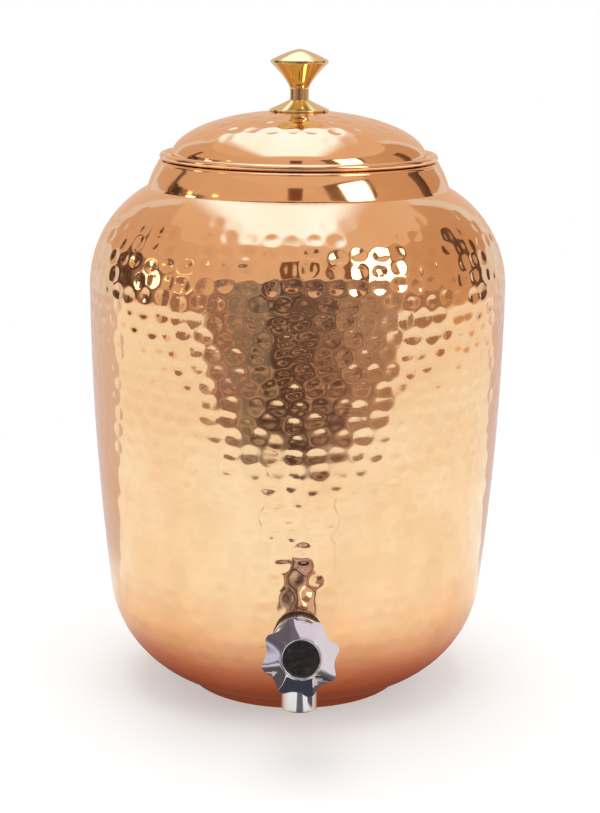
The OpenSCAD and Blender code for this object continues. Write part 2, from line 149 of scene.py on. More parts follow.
def arcPoints(center, radius, start, stop, count):
    angles = np.linspace(start, stop, count)
    return [(center[0] + radius * math.cos(a), center[1] + radius * math.sin(a)) for a in angles]


def rod(radius, start, stop):  # plain outline of a rod on the axis
    return [(0, start), (radius, start), (radius, stop), (0, stop)]


def drawOutline(name, points):
    deselectAll()
    bpy.ops.mesh.primitive_plane_add(size=mm)
    piece = bpy.context.object
    piece.name = name
    piece.data.name = name
    bpy.ops.object.mode_set(mode="EDIT")
    bpy.ops.mesh.select_all(action="SELECT")
    bpy.ops.mesh.merge(type="CENTER")
    bpy.ops.transform.translate(value=(points[0][0], 0, points[0][1]))
    for (r0, z0), (r1, z1) in zip(points, points[1:]):
        bpy.ops.mesh.extrude_vertices_move(TRANSFORM_OT_translate={"value": (r1 - r0, 0, z1 - z0)})
    bpy.ops.object.mode_set(mode="OBJECT")
    return piece


def closeUp(piece):
    selectOnly(piece)
    bpy.ops.object.mode_set(mode="EDIT")
    bpy.ops.mesh.select_all(action="SELECT")
    bpy.ops.mesh.remove_doubles(threshold=0.005 * mm)
    bpy.ops.mesh.normals_make_consistent(inside=False)
    bpy.ops.object.mode_set(mode="OBJECT")


def turnOutline(name, points, steps, sweep=math.tau):
    piece = drawOutline(name, points)
    screw = piece.modifiers.new("turn", "SCREW")
    screw.axis = "Z"
    screw.angle = sweep
    screw.steps = steps
    screw.render_steps = steps
    applyModifiers(piece)
    closeUp(piece)
    return piece


def lieAlong(piece, origin, axis):  # moves a piece turned about Z onto another axis
    turn = up.rotation_difference(Vector(axis))
    piece.matrix_world = Matrix.Translation(Vector(origin)) @ turn.to_matrix().to_4x4()
    selectOnly(piece)
    bpy.ops.object.transform_apply(location=True, rotation=True, scale=True)


def dress(piece, body, slot, material, *nodes):
    piece.data.materials.clear()
    piece.data.materials.append(material)
    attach(piece, body)
    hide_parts(*nodes)


# Materials

def startMaterial(name, **sockets):
    material = bpy.data.materials.new(name)
    material.use_nodes = True
    shader = material.node_tree.nodes["Principled BSDF"]
    for socket, value in sockets.items():
        shader.inputs[socket.replace("_", " ")].default_value = value
    return material, material.node_tree, shader


def addNode(tree, kind, settings=None, **inputs):
    node = tree.nodes.new(kind)
    for key, value in (settings or {}).items():
        setattr(node, key, value)
    for key, value in inputs.items():
        node.inputs[key.replace("_", " ")].default_value = value
    return node


def noiseOn(tree, coords, scale, detail=3.0, roughness=0.55):
    noise = addNode(tree, "ShaderNodeTexNoise", Scale=scale, Detail=detail, Roughness=roughness)
    tree.links.new(coords, noise.inputs["Vector"])
    return noise.outputs["Fac"]


def spread(tree, value, low, high, fromLow=0.3, fromHigh=0.7):
    span = addNode(tree, "ShaderNodeMapRange", From_Min=fromLow, From_Max=fromHigh, To_Min=low, To_Max=high)
    tree.links.new(value, span.inputs["Value"])
    return span.outputs["Result"]


def blendColors(tree, fac, first, second):
    mix = addNode(tree, "ShaderNodeMix", {"data_type": "RGBA"})
    tree.links.new(fac, mix.inputs[0])
    for socket, color in ((mix.inputs[6], first), (mix.inputs[7], second)):
        if isinstance(color, tuple):
            socket.default_value = color
        else:
            tree.links.new(color, socket)
    return mix.outputs[2]


def addBump(tree, height, strength, distance, normal=None):
    bump = addNode(tree, "ShaderNodeBump", Strength=strength, Distance=distance)
    tree.links.new(height, bump.inputs["Height"])
    if normal:
        tree.links.new(normal, bump.inputs["Normal"])
    return bump.outputs["Normal"]


def objectCoords(tree):
    return addNode(tree, "ShaderNodeTexCoord").outputs["Object"]


metalScales = {
    "patches": 22,
    "smudges": 70,
    "wave": 55,
    "grain": 1400,
}


def metalMaterial(name, pale, deep, rough, wave, grain, dents=False):
    material, tree, shader = startMaterial(name, Metallic=1.0)
    coords = objectCoords(tree)
    patches = spread(tree, noiseOn(tree, coords, metalScales["patches"], 2), 0, 1)
    color = blendColors(tree, patches, pale, deep)
    smudges = noiseOn(tree, coords, metalScales["smudges"], 5, 0.6)
    roughness = spread(tree, smudges, rough[0], rough[1], 0.35, 0.7)
    if dents:  # painted shade: the hollows of the hammer blows are darkened, the deeper the darker
        hollow = addNode(tree, "ShaderNodeAttribute", {"attribute_name": "hammer"}).outputs["Fac"]
        shade = spread(tree, hollow, 0, 0.16, 0.1, 0.9)
        color = blendColors(tree, shade, color, (deep[0] * 0.6, deep[1] * 0.5, deep[2] * 0.45, 1))
    tree.links.new(color, shader.inputs["Base Color"])
    tree.links.new(roughness, shader.inputs["Roughness"])
    slow = noiseOn(tree, coords, metalScales["wave"], 1)
    fine = noiseOn(tree, coords, metalScales["grain"], 3)
    normal = addBump(tree, slow, 1.0, wave)
    tree.links.new(addBump(tree, fine, 1.0, grain, normal), shader.inputs["Normal"])
    return material


copper = {
    "pale": (0.94, 0.62, 0.35, 1),
    "deep": (0.91, 0.54, 0.28, 1),
    "rough": (0.05, 0.12),
}
hammeredCopper = metalMaterial("hammered copper", **copper, wave=0.03 * mm, grain=0.001 * mm, dents=True)
polishedCopper = metalMaterial("polished copper", **copper, wave=0.04 * mm, grain=0.001 * mm)
polishedBrass = metalMaterial("polished brass", (0.86, 0.68, 0.32, 1), (0.78, 0.57, 0.23, 1),
                              (0.07, 0.16), 0.01 * mm, 0.002 * mm)
plainBrass = metalMaterial("plain brass", (0.80, 0.60, 0.28, 1), (0.70, 0.48, 0.20, 1),
                           (0.25, 0.38), 0.0, 0.004 * mm)
chromePlate = metalMaterial("chrome plate", (0.80, 0.80, 0.82, 1), (0.76, 0.76, 0.79, 1),
                            (0.03, 0.09), 0.01 * mm, 0.001 * mm)
plainSteel = metalMaterial("plain steel", (0.62, 0.62, 0.63, 1), (0.52, 0.52, 0.54, 1),
                           (0.22, 0.35), 0.0, 0.004 * mm)


def softMaterial(name, pale, deep, rough, grain, grainScale, coat=0.0):
    material, tree, shader = startMaterial(name, Coat_Weight=coat, Coat_Roughness=0.04)
    coords = objectCoords(tree)
    color = blendColors(tree, spread(tree, noiseOn(tree, coords, 240, 4), 0, 1), pale, deep)
    tree.links.new(color, shader.inputs["Base Color"])
    tree.links.new(spread(tree, noiseOn(tree, coords, 160, 3), *rough), shader.inputs["Roughness"])
    tree.links.new(addBump(tree, noiseOn(tree, coords, grainScale, 4), 0.6, grain), shader.inputs["Normal"])
    return material


blackRubber = softMaterial("black rubber", (0.022, 0.022, 0.023, 1), (0.035, 0.034, 0.034, 1),
                           (0.5, 0.7), 0.03 * mm, 1800)
redFibre = softMaterial("red fibre", (0.28, 0.06, 0.035, 1), (0.2, 0.045, 0.03, 1),
                        (0.6, 0.8), 0.05 * mm, 2400)
blackPlastic = softMaterial("black plastic", (0.008, 0.008, 0.009, 1), (0.013, 0.012, 0.012, 1),
                            (0.12, 0.2), 0.004 * mm, 900, 0.8)
print("materials ready")


# Hammering: rows of shallow bowls, each a little off its place

hammer = {
    "spacing": 10.8 * mm,     # along a row
    "pitch": 8.3 * mm,        # from row to row
    "bowl": 4.4 * mm,         # radius of a bowl
    "jitter": 0.9 * mm,
    "blend": 0.06 * mm,       # softness of the bowls' edges
    "seed": 11,
}


def smoothMax(a, b, k):
    h = np.clip(0.5 + 0.5 * (b - a) / k, 0, 1)
    return a + (b - a) * h + k * h * (1 - h)


def hammerDepth(angles, reach, radii, rows, rng):  # rows: (reach, radius, depth)
    depth = np.zeros(len(angles))
    for number, (rowReach, rowRadius, rowDepth) in enumerate(rows):
        count = max(5, round(math.tau * rowRadius / hammer["spacing"]))
        pitch = math.tau / count
        offset = pitch * (0.5 * (number % 2) + rng.uniform(-0.25, 0.25))
        slip = rng.normal(0, hammer["jitter"], count) / rowRadius
        lift = rng.normal(0, hammer["jitter"], count)
        blow = rowDepth * rng.uniform(0.5, 1.3, count)
        wide = hammer["bowl"] * rng.uniform(0.84, 1.16, count)
        tall = hammer["bowl"] * rng.uniform(0.8, 1.06, count)
        near = np.nonzero(np.abs(reach - rowReach) < 1.9 * hammer["bowl"])[0]
        slot = np.floor((angles[near] - offset) / pitch).astype(int)
        for k in (-1, 0, 1, 2):
            i = (slot + k) % count
            away = angles[near] - (offset + (slot + k) * pitch + slip[i])
            u = away * radii[near] / wide[i]
            v = (reach[near] - rowReach - lift[i]) / tall[i]
            bowl = blow[i] * (1 - u * u - v * v)
            depth[near] = smoothMax(depth[near], bowl, min(hammer["blend"], 0.3 * rowDepth))
    return depth


def hammerPiece(piece, depth):  # pushes the surface in by a depth for each vertex
    deepest = float(depth.max())
    weights = depth / deepest
    group = piece.vertex_groups.new(name="hammer blows")
    for index in np.nonzero(weights > 1e-4)[0]:
        group.add([int(index)], float(weights[index]), "REPLACE")
    push = piece.modifiers.new("hammering", "DISPLACE")
    push.vertex_group = group.name
    push.mid_level = 0
    push.strength = -deepest
    push.direction = "NORMAL"
    applyModifiers(piece)
    piece.vertex_groups.clear()
    shade = piece.data.attributes.new("hammer", "FLOAT", "POINT")
    shade.data.foreach_set("value", weights)


# Pot: one hammered skin from the lower edge to the neck

pot = {
    "bellyZ": 220 * mm,
    "wallBow": 1470 * mm,
    "cornerRound": 60 * mm,
    "cornerLow": 2 * mm,
    "shoulderRound": 59 * mm,
    "sheet": 1 * mm,
    "rowStep": 1.24 * mm,
    "plainStep": 2.1 * mm,    # where the blows are soft
    "plainBelow": 105 * mm,
    "innerStep": 12 * mm,
    "columns": 436,
    "hammerFrom": 18 * mm,    # height of the lowest row
    "hammerTo": 262 * mm,     # height of the highest row
    "depthAt": (18, 100, 118, 130, 140, 150, 180, 205, 228, 240, 250, 262),
    "depth": (0.13, 0.14, 0.15, 0.17, 0.2, 0.25, 0.31, 0.42, 0.62, 0.66, 0.6, 0.2),
    "tapFlat": 14 * mm,       # smooth seat round the tap's hole
    "tapBlend": 4 * mm,       # from the seat to the full blows
    "tapHole": 8.3 * mm,
    "drillFrom": 85 * mm,
    "drillLong": 30 * mm,
    "blowsAt": 90 * mm,       # harder blows above the tap
    "blowsWide": 20 * mm,
    "blowsTall": 28 * mm,
    "blowsDepth": 0.34 * mm,
}

bodyLow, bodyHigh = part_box("vessel_body")
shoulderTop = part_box("vessel_shoulder")[1].z
gasketLow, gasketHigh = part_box("tap_outer_gasket")
tapZ = (gasketLow.z + gasketHigh.z) / 2
handleTurn = next(j for j in frame["record"]["behaviour"]["joints"] if j["name"] == "handle_turn")
valveOrigin = Vector(handleTurn["pos_m"])
valveAxis = Vector(handleTurn["axis"]).normalized()


def potArcs():  # center, radius and turn of the corner, the wall and the shoulder
    bellyR = bodyHigh.x
    cornerZ = pot["cornerLow"] + pot["cornerRound"]
    wallX = bellyR - pot["wallBow"]
    reach = pot["wallBow"] - pot["cornerRound"]
    cornerX = wallX + math.sqrt(reach ** 2 - (pot["bellyZ"] - cornerZ) ** 2)
    wallEnd = -math.atan2(pot["bellyZ"] - cornerZ, cornerX - wallX)
    footEnd = math.asin((bodyLow.z - cornerZ) / pot["cornerRound"])
    neckTurn = math.asin((shoulderTop - pot["bellyZ"]) / pot["shoulderRound"])
    return (
        ((cornerX, cornerZ), pot["cornerRound"], footEnd, wallEnd),
        ((wallX, pot["bellyZ"]), pot["wallBow"], wallEnd, 0),
        ((bellyR - pot["shoulderRound"], pot["bellyZ"]), pot["shoulderRound"], 0, neckTurn),
    )


def potLine(inset, step, plainStep):
    line = []
    for center, radius, start, stop in potArcs():
        split = math.asin(max(-1, (pot["plainBelow"] - center[1]) / radius))
        spans = [(start, stop)] if not start < split < stop else [(start, split), (split, stop)]
        for a, b in spans:
            plain = center[1] + radius * math.sin((a + b) / 2) < pot["plainBelow"]
            count = max(2, math.ceil(abs(b - a) * radius / (plainStep if plain else step))) + 1
            line += arcPoints(center, radius - inset, a, b, count)[1 if line else 0:]
    return line


def makeVessel():
    outer = potLine(0, pot["rowStep"], pot["plainStep"])
    inner = potLine(pot["sheet"], pot["innerStep"], pot["innerStep"])
    shell = turnOutline("vessel_shell", outer + inner[::-1] + outer[:1], pot["columns"])
    drill = turnOutline("drill", rod(pot["tapHole"], 0, pot["drillLong"]), 64)
    lieAlong(drill, (0, -pot["drillFrom"], tapZ), (0, -1, 0))
    combine(shell, drill, "DIFFERENCE")
    points = piecePoints(shell)
    radii = np.hypot(points[:, 0], points[:, 1])
    lineR, lineZ = np.array(outer).T
    lineS = np.concatenate([[0], np.cumsum(np.hypot(np.diff(lineR), np.diff(lineZ)))])
    reach = np.interp(points[:, 2], lineZ, lineS)
    outside = radii > np.interp(points[:, 2], lineZ, lineR) - 0.4 * pot["sheet"]
    first = np.interp(pot["hammerFrom"], lineZ, lineS)
    last = np.interp(pot["hammerTo"], lineZ, lineS)
    rows = []
    for s in np.linspace(first, last, round((last - first) / hammer["pitch"]) + 1):
        z = np.interp(s, lineS, lineZ)
        depth = np.interp(z / mm, pot["depthAt"], pot["depth"]) * mm
        rows.append((s, np.interp(s, lineS, lineR), depth))
    rng = np.random.default_rng(hammer["seed"])
    angles = np.arctan2(points[:, 1], points[:, 0])
    depth = hammerDepth(angles, reach, radii, rows, rng)
    upward = (points[:, 2] - pot["blowsAt"]) / pot["blowsTall"]
    above = np.exp(-(points[:, 0] / pot["blowsWide"]) ** 2 - upward ** 2)
    rowDepth = np.interp(points[:, 2] / mm, pot["depthAt"], pot["depth"]) * mm
    depth *= 1 + np.where(points[:, 1] < 0, above * pot["blowsDepth"] / rowDepth, 0)
    fromTap = np.hypot(points[:, 0], points[:, 2] - tapZ)
    seat = np.where(points[:, 1] < 0, np.clip((fromTap - pot["tapFlat"]) / pot["tapBlend"], 0, 1), 1)
    hammerPiece(shell, np.where(outside, depth * seat, 0))
    return shell


shell = makeVessel()
smoothShade(shell, 40)
dress(shell, "vessel", "hammered_copper", hammeredCopper, "vessel_body", "vessel_shoulder")
print("pot:", len(shell.data.polygons), "faces")


# Smooth turned pieces, each from its own section in the frame

turned = {
    "neck_band": {"steps": 256, "bevel": 0.25 * mm, "bulge": 0.5 * mm},
    "base_pan": {"steps": 192, "bevel": 0.3 * mm},
    "lid_collar": {"steps": 256, "bevel": 0.3 * mm},
    "knob_rosette": {"steps": 128, "bevel": 0.3 * mm},
    "lid_knob": {"steps": 128, "bevel": 0.22 * mm},
}


def corners(line):  # an outline without the points that lie on its straight stretches
    kept = [line[0]]
    for (r1, z1), (r2, z2) in zip(line[1:], line[2:]):
        r0, z0 = kept[-1]
        turn = (r1 - r0) * (z2 - z1) - (z1 - z0) * (r2 - r1)
        if abs(turn) > 0.002 * math.hypot(r1 - r0, z1 - z0) * math.hypot(r2 - r1, z2 - z1):
            kept.append((r1, z1))
    return kept + [line[-1]]


def bowOut(line, bulge, longer=8 * mm, parts=10):  # long straight stretches of an outline swell a little
    line = corners(line)
    bowed = [line[0]]
    for (r0, z0), (r1, z1) in zip(line, line[1:]):
        long = math.hypot(r1 - r0, z1 - z0)
        if long > longer:
            for t in np.linspace(0, 1, parts + 1)[1:-1]:
                push = math.copysign(4 * bulge * t * (1 - t) / long, z1 - z0)
                bowed.append((r0 + (r1 - r0) * t + push * (z1 - z0), z0 + (z1 - z0) * t - push * (r1 - r0)))
        bowed.append((r1, z1))
    return bowed


def makeTurned(node):
    line = sectionOf(node)
    if turned[node].get("bulge"):
        line = bowOut(line, turned[node]["bulge"])
    piece = turnOutline(node + "_turned", line, turned[node]["steps"])
    bevelEdges(piece, turned[node]["bevel"])
    smoothShade(piece)
    weighNormals(piece)
    return piece


dress(makeTurned("neck_band"), "vessel", "polished_copper", polishedCopper, "neck_band")
dress(makeTurned("base_pan"), "vessel", "polished_copper", polishedCopper, "base_pan")
dress(makeTurned("lid_collar"), "lid", "polished_copper", polishedCopper, "lid_collar")
dress(makeTurned("knob_rosette"), "lid", "polished_brass", polishedBrass, "knob_rosette")
dress(makeTurned("lid_knob"), "lid", "polished_brass", polishedBrass, "lid_knob")
print("turned pieces:", len(turned))


# Lid: a rolled rim and a dome with rings of hammer blows

lid = {
    "sheet": 1 * mm,
    "bead": 3.6 * mm,         # thickness of the rolled rim
    "rimWidth": 6 * mm,       # from the bead's outside to the foot of the dome
    "rowStep": 1.25 * mm,
    "crowding": 0.85,         # below 1, rows lie closer at the top
    "innerParts": 40,
    "beadParts": 28,
    "columns": 300,
    "ringsFrom": 22 * mm,
    "ringsTo": 57 * mm,
    "depth": (0.26, 0.4, 0.4, 0.36, 0.22),
}


def makeLid():
    low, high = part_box("lid_dome")
    hole = min(r for r, z in sectionOf("lid_dome"))
    rimZ = low.z + lid["bead"] / 2 - lid["sheet"] / 2
    top = rimZ + lid["sheet"]
    wide = high.x - lid["rimWidth"]
    tall = high.z - rimZ
    turns = np.linspace(0, 1, round(1.15 * wide / lid["rowStep"])) ** lid["crowding"] * math.pi / 2
    outer = [(wide * math.cos(a), rimZ + tall * math.sin(a)) for a in turns]
    outer = [p for p in outer if p[0] > hole and p[1] > top + 0.05 * mm]
    inner = []
    for a in np.linspace(0, math.pi / 2, lid["innerParts"]):
        inner.append(((wide - lid["sheet"]) * math.cos(a), rimZ + (tall - lid["sheet"]) * math.sin(a)))
    inner = [p for p in inner if p[0] > hole]
    beadR = high.x - lid["bead"] / 2
    half = math.asin(lid["sheet"] / lid["bead"])
    middle = (beadR, rimZ + lid["sheet"] / 2)
    bead = arcPoints(middle, lid["bead"] / 2, half - math.pi, math.pi - half, lid["beadParts"])
    foot = wide * math.sqrt(1 - (lid["sheet"] / tall) ** 2)
    line = bead + [(foot, top)] + outer + [(hole, outer[-1][1]), (hole, inner[-1][1])]
    piece = turnOutline("lid_dome_hammered", line + inner[::-1] + [bead[0]], lid["columns"])
    points = piecePoints(piece)
    radii = np.hypot(points[:, 0], points[:, 1])
    a = np.linspace(math.pi / 2, 0, 400)
    lineR = wide * np.cos(a)
    lineS = np.concatenate([[0], np.cumsum(np.hypot(np.diff(lineR), np.diff(tall * np.sin(a))))])
    reach = np.interp(radii, lineR, lineS)
    outside = np.hypot(radii / wide, (points[:, 2] - rimZ) / tall) > 0.993
    outside &= radii < wide + 0.1 * mm
    first, last = np.interp((lid["ringsFrom"], lid["ringsTo"]), lineR, lineS)
    rings = zip(np.linspace(first, last, len(lid["depth"])), lid["depth"])
    rows = [(s, np.interp(s, lineS, lineR), depth * mm) for s, depth in rings]
    rng = np.random.default_rng(hammer["seed"] + 1)
    depth = hammerDepth(np.arctan2(points[:, 1], points[:, 0]), reach, radii, rows, rng)
    hammerPiece(piece, np.where(outside, depth, 0))
    smoothShade(piece, 40)
    return piece


lidDome = makeLid()
dress(lidDome, "lid", "hammered_copper", hammeredCopper, "lid_dome")
print("lid:", len(lidDome.data.polygons), "faces")


# Tap knob: a turned cone with leaning flutes, a bezel and a bare badge

tapKnob = {
    "lobes": 8,
    "lobeTurn": 14.6,
    "skirt": 2.5 * mm,
    "fluteDepth": 2.6 * mm,
    "fluteRound": 9 * mm,
    "soft": 1.8 * mm,         # rounding where a flute meets a lobe
    "edge": 0.7 * mm,
    "holeR": 4.3 * mm,
    "pocket": 3 * mm,
    "gap": 0.05 * mm,         # round the bezel
    "lap": 0.15 * mm,         # from the bezel's gap to the cone
    "coneParts": 26,
    "steps": 192,
}


def makeTapKnob():
    k = tapKnob
    back, front, tipR = turnedSize("tap_knob", valveOrigin, valveAxis)
    bezelR = turnedSize("knob_bezel", valveOrigin, valveAxis)[2] + k["gap"]
    faceR = bezelR + k["lap"]  # the cone runs up to the bezel
    long = front - back
    slope = (tipR - faceR) / (long - k["skirt"])
    cone = math.atan(slope)
    edge = k["edge"]
    rimRound = 1.6 * edge
    reach = rimRound * math.tan(cone / 2)
    line = [(k["holeR"], 0), (tipR - 3 * edge, 0)]
    line += arcPoints((tipR - edge, edge), edge, -math.pi / 2, 0, 7)
    line += arcPoints((tipR - rimRound, k["skirt"] - reach), rimRound, 0, cone, 6)
    start, stop = line[-1][1], long - 0.5 * edge
    for z in np.linspace(start, stop, k["coneParts"])[1:]:
        line.append((tipR - slope * (z - k["skirt"]), z))
    face, floor = long - k["gap"], long - k["pocket"]
    line += [(bezelR + 0.1 * mm, face), (bezelR, face), (bezelR, floor), (k["holeR"], floor), (k["holeR"], 0)]
    piece = turnOutline("tap_knob_fluted", line, k["steps"])
    points = piecePoints(piece)
    radii = np.hypot(points[:, 0], points[:, 1])
    step = math.tau / k["lobes"]
    turn = np.arctan2(points[:, 1], points[:, 0]) - math.radians(k["lobeTurn"]) - step / 2
    away = (turn + step / 2) % step - step / 2
    valleyR = tipR - k["fluteDepth"]
    lean = math.atan2(valleyR - faceR, long - k["skirt"])
    flute = np.ones(len(points))
    for tilt in (0, lean):  # straight over the skirt, then leaning in to the face
        deep = k["fluteRound"] / math.cos(tilt)
        center = valleyR - (points[:, 2] - k["skirt"]) * math.tan(tilt) + deep
        a = (np.cos(away) / deep) ** 2 + (np.sin(away) / k["fluteRound"]) ** 2
        b = center * np.cos(away) / deep ** 2
        root = b * b - a * ((center / deep) ** 2 - 1)
        flute = np.minimum(flute, np.where(root > 0, (b - np.sqrt(np.maximum(root, 0))) / a, 1))
    soft = k["soft"] * np.clip((long - points[:, 2]) / (0.5 * long), 0.05, 1)
    pulled = -smoothMax(-radii, -flute, soft)
    outside = radii > bezelR + 0.1 * mm
    scale = np.where(outside, pulled / np.maximum(radii, mm), 1)
    points[:, 0] *= scale
    points[:, 1] *= scale
    piece.data.vertices.foreach_set("co", points.ravel())
    piece.data.update()
    lieAlong(piece, valveOrigin + valveAxis * back, valveAxis)
    smoothShade(piece, 45)
    return piece


badge = {
    "crown": 0.6 * mm,
    "edge": 0.2 * mm,
}


def makeBezel():
    back, front, radius = turnedSize("knob_bezel", valveOrigin, valveAxis)
    inner = turnedSize("knob_badge", valveOrigin, valveAxis)[2] + 0.05 * mm
    long = front - back
    soft = 0.48 * (radius - inner)
    line = [(inner, 0), (radius, 0)]
    line += arcPoints((radius - soft, long - soft), soft, 0, math.pi / 2, 8)
    line += arcPoints((inner + soft, long - soft), soft, math.pi / 2, math.pi, 8) + [(inner, 0)]
    piece = turnOutline("knob_bezel_turned", line, 128)
    lieAlong(piece, valveOrigin + valveAxis * back, valveAxis)
    smoothShade(piece)
    return piece


def makeBadge():
    back, front, radius = turnedSize("knob_badge", valveOrigin, valveAxis)
    long = front - back
    crown, edge = badge["crown"], badge["edge"]
    line = [(0, 0), (radius, 0), (radius, long - crown - edge)]
    for f in np.linspace(0, 1, 14):
        line.append(((radius - edge) * (1 - f), long - crown * (1 - f) ** 2))
    piece = turnOutline("knob_badge_domed", line, 96)
    lieAlong(piece, valveOrigin + valveAxis * back, valveAxis)
    smoothShade(piece, 50)
    return piece


dress(makeTapKnob(), "handle", "chrome_plate", chromePlate, "tap_knob")
dress(makeBezel(), "handle", "chrome_plate", chromePlate, "knob_bezel")
dress(makeBadge(), "handle", "black_plastic", blackPlastic, "knob_badge")
print("tap knob ready")


# Tap body and bonnet: turned forms joined together, with soft edges, and bored

tapBody = {
    "shankR": 8 * mm,
    "flangeR": 13 * mm,
    "flangeThick": 3 * mm,
    "neckR": 10.5 * mm,
    "fillet": 1.2 * mm,       # between flange and neck
    "edge": 0.8 * mm,
    "chamberR": 11.5 * mm,
    "chamberLong": 24 * mm,
    "chamberBack": 4 * mm,    # rounding of the chamber's back
    "spoutR": 9 * mm,
    "spoutReach": 18.5 * mm,  # from the flange's front
    "shankBore": 4.5 * mm,
    "seatBore": 4 * mm,
    "seatAt": 5.4 * mm,
    "chamberBore": 8.2 * mm,
    "spoutBore": 5 * mm,
    "mouthBore": 6 * mm,
    "mouthDeep": 10 * mm,
}


def joinTurned(piece, line, origin, axis, operation):
    tool = turnOutline("tool", line, 96)
    lieAlong(tool, origin, axis)
    combine(piece, tool, operation)


def makeTapBody():
    t = tapBody
    low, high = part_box("tap_body")
    edge, fillet = t["edge"], t["fillet"]
    shankEnd, flangeBack, bend = -high.y, -gasketLow.y, -valveOrigin.y
    flangeFront = flangeBack + t["flangeThick"]
    line = [(0, shankEnd), (t["shankR"] - edge, shankEnd)]
    line += [(t["shankR"], shankEnd + edge), (t["shankR"], flangeBack)]
    line += arcPoints((t["flangeR"] - edge / 2, flangeBack + edge / 2), edge / 2, -math.pi / 2, 0, 5)
    line += arcPoints((t["flangeR"] - edge, flangeFront - edge), edge, 0, math.pi / 2, 8)
    line += arcPoints((t["neckR"] + fillet, flangeFront + fillet), fillet, -math.pi / 2, -math.pi, 8)
    line += arcPoints((0, bend), t["neckR"], 0, math.pi / 2, 20)
    piece = turnOutline("tap_body_cast", line, 96)
    shank = ((0, 0, tapZ), (0, -1, 0))
    lieAlong(piece, *shank)
    valve = (valveOrigin, valveAxis)
    soft = t["chamberBack"]
    chamber = [(0, 0)] + arcPoints((t["chamberR"] - soft, soft), soft, -math.pi / 2, 0, 10)
    chamber += arcPoints((t["chamberR"] - edge, t["chamberLong"] - edge), edge, 0, math.pi / 2, 6)
    joinTurned(piece, chamber + [(0, t["chamberLong"])], *valve, "UNION")
    spout = ((0, -flangeFront - t["spoutReach"], low.z), (0, 0, 1))
    tall = valveOrigin.z - low.z
    pipe = [(0, 0)] + arcPoints((t["spoutR"] - edge, edge), edge, -math.pi / 2, 0, 6)
    joinTurned(piece, pipe + [(t["spoutR"], tall), (0, tall)], *spout, "UNION")
    joinTurned(piece, rod(t["shankBore"], shankEnd - mm, bend), *shank, "DIFFERENCE")
    joinTurned(piece, rod(t["seatBore"], -mm, t["chamberLong"]), *valve, "DIFFERENCE")
    joinTurned(piece, rod(t["chamberBore"], t["seatAt"], t["chamberLong"] + mm), *valve, "DIFFERENCE")
    joinTurned(piece, rod(t["spoutBore"], mm, tall), *spout, "DIFFERENCE")
    joinTurned(piece, rod(t["mouthBore"], -mm, t["mouthDeep"]), *spout, "DIFFERENCE")
    smoothShade(piece, 32)
    weighNormals(piece)
    return piece


bonnet = {
    "headLong": 8.5 * mm,
    "guideLong": 2.5 * mm,
    "threadR": 8.15 * mm,
    "boreR": 5.05 * mm,
    "guideR": 4.05 * mm,
    "bevel": 0.5 * mm,
}


def makeBonnet():
    back, front, radius = turnedSize("tap_bonnet", valveOrigin, valveAxis)
    head = front - bonnet["headLong"]
    piece = turnOutline("tap_bonnet_soft", rod(radius, head, front), 6)
    bevelEdges(piece, bonnet["bevel"])
    lieAlong(piece, valveOrigin, valveAxis)
    valve = (valveOrigin, valveAxis)
    joinTurned(piece, rod(bonnet["threadR"], back, head + mm), *valve, "UNION")
    joinTurned(piece, rod(bonnet["boreR"], back - mm, front - bonnet["guideLong"]), *valve, "DIFFERENCE")
    joinTurned(piece, rod(bonnet["guideR"], back, front + mm), *valve, "DIFFERENCE")
    smoothShade(piece, 32)
    weighNormals(piece)
    return piece


dress(makeTapBody(), "vessel", "chrome_plate", chromePlate, "tap_body")
dress(makeBonnet(), "vessel", "chrome_plate", chromePlate, "tap_bonnet")
print("tap body ready")


# Pieces whose CAD shape is right get a material only

plainNodes = {
    "tap_outer_gasket": blackRubber, "tap_inner_gasket": blackRubber,
    "tap_backing_washer": plainSteel, "tap_lock_nut": plainBrass, "bonnet_gasket": redFibre,
    "lid_screw": plainSteel, "lid_screw_washer": plainSteel, "jumper_valve": plainBrass,
    "valve_washer": blackRubber, "valve_washer_screw": plainBrass, "spindle": plainBrass,
    "spindle_o_ring": blackRubber, "knob_screw": plainSteel,
}
for node, material in plainNodes.items():
    for slot in frame["nodes"][node].material_slots:
        slot.material = material


# Stage: a pale floor that runs out to white, lamps, and a room of cards that only the metal sees

stage = {
    "floorColor": (0.86, 0.855, 0.85, 1),
    "floorReach": 6,
    "fadeFrom": 0.25,         # from here the floor runs out to white
    "fadeTo": 0.6,
    # even near the pot the floor glows white by this share, painted light that thins the object's shadow on
    # it
    "fadeLeast": 0.4,
    "worldLevel": 0.8,
    "roundSteps": 96,
}


def rayIsSeen(tree):  # camera, glossy and transmission rays see the plain white
    path = addNode(tree, "ShaderNodeLightPath")
    total = path.outputs["Is Camera Ray"]
    for output in ("Is Glossy Ray", "Is Transmission Ray"):
        add = addNode(tree, "ShaderNodeMath", {"operation": "MAXIMUM"})
        tree.links.new(total, add.inputs[0])
        tree.links.new(path.outputs[output], add.inputs[1])
        total = add.outputs[0]
    return total


def makeWorld():
    world = bpy.data.worlds.new("studio")
    bpy.context.scene.world = world
    world.use_nodes = True
    tree = world.node_tree
    background = tree.nodes["Background"]
    background.inputs["Color"].default_value = (1, 1, 1, 1)
    level = spread(tree, rayIsSeen(tree), stage["worldLevel"], 1.0, 0, 1)
    tree.links.new(level, background.inputs["Strength"])


